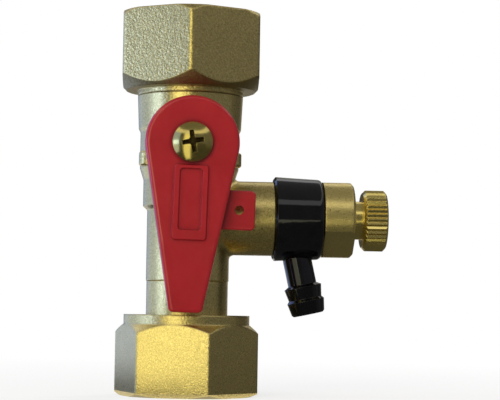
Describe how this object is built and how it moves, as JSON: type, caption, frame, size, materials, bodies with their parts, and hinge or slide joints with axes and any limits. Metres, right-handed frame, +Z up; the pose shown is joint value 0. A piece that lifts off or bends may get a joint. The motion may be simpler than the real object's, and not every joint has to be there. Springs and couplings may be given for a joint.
{
  "type": "cap valve",
  "caption": "Brass cap ball valve for an expansion vessel: hexagon socket above, swivel union nut below, red quarter-turn lever and a side drain with a swivel hose nozzle.",
  "frame": {"origin": "on the flow axis, at the mouth of the union nut's thread, which stands on the surface", "axes": "+Z up along the flow axis towards the socket, +X along the drain branch, -Y towards the lever"},
  "size_m": [0.0637, 0.0406, 0.0904],
  "materials": {
    "blasted_brass": "shot-blasted forging, fine grain",
    "turned_brass": "turned, bright",
    "plated_screw": "yellow-plated, bright",
    "red_paint": "glossy red paint on a die-cast lever",
    "black_plastic": "glossy black moulding",
    "black_rubber": "moulded rubber",
    "seat_plastic": "white low-friction plastic",
    "bright_steel": "spring wire",
    "fibre": "pressed fibre gasket",
    "polished_ball": "plated and polished"
  },
  "bodies": {
    "root": {"valve_body": "blasted_brass", "socket_end": "blasted_brass", "socket_o_ring": "black_rubber", "upper_ball_seat": "seat_plastic", "lower_ball_seat": "seat_plastic", "tailpiece": "blasted_brass", "tail_o_ring": "black_rubber", "nut_retaining_ring": "bright_steel", "union_gasket": "fibre", "drain_insert": "blasted_brass", "collar_o_ring_inner": "black_rubber", "collar_o_ring_outer": "black_rubber"},
    "lever": {"lever": "red_paint", "lever_screw": "plated_screw", "stem": "turned_brass", "ball": "polished_ball", "stem_thrust_washer": "seat_plastic", "stem_o_ring_inner": "black_rubber", "stem_o_ring_outer": "black_rubber"},
    "nut": {"union_nut": "blasted_brass"},
    "collar": {"hose_collar": "black_plastic"},
    "drain_seal": {"drain_seal": "black_rubber"},
    "drain_screw": {"drain_screw": "turned_brass", "screw_o_ring": "black_rubber"}
  },
  "joints": [
    {"name": "lever_turn", "type": "hinge", "parent": "root", "child": "lever", "pos_m": [0, -0.0155, 0.05828], "axis": [0, 1, 0], "range_deg": [-1.4, 88.6]},
    {"name": "nut_swivel", "type": "hinge", "parent": "root", "child": "nut", "pos_m": [0, 0, 0.0095], "axis": [0, 0, 1], "continuous": true},
    {"name": "collar_swivel", "type": "hinge", "parent": "root", "child": "collar", "pos_m": [0.0259, 0, 0.0421], "axis": [1, 0, 0], "continuous": true},
    {"name": "drain_lift", "type": "slide", "parent": "root", "child": "drain_seal", "axis": [1, 0, 0], "range_m": [0, 0.003]},
    {"name": "drain_turn", "type": "hinge", "parent": "drain_seal", "child": "drain_screw", "pos_m": [0.0443, 0, 0.0421], "axis": [1, 0, 0], "range_deg": [0, 1080]}
  ],
  "couplings": [
    {"joint": "drain_lift", "follows": "drain_turn", "m_per_rad": 0.00015915}
  ]
}
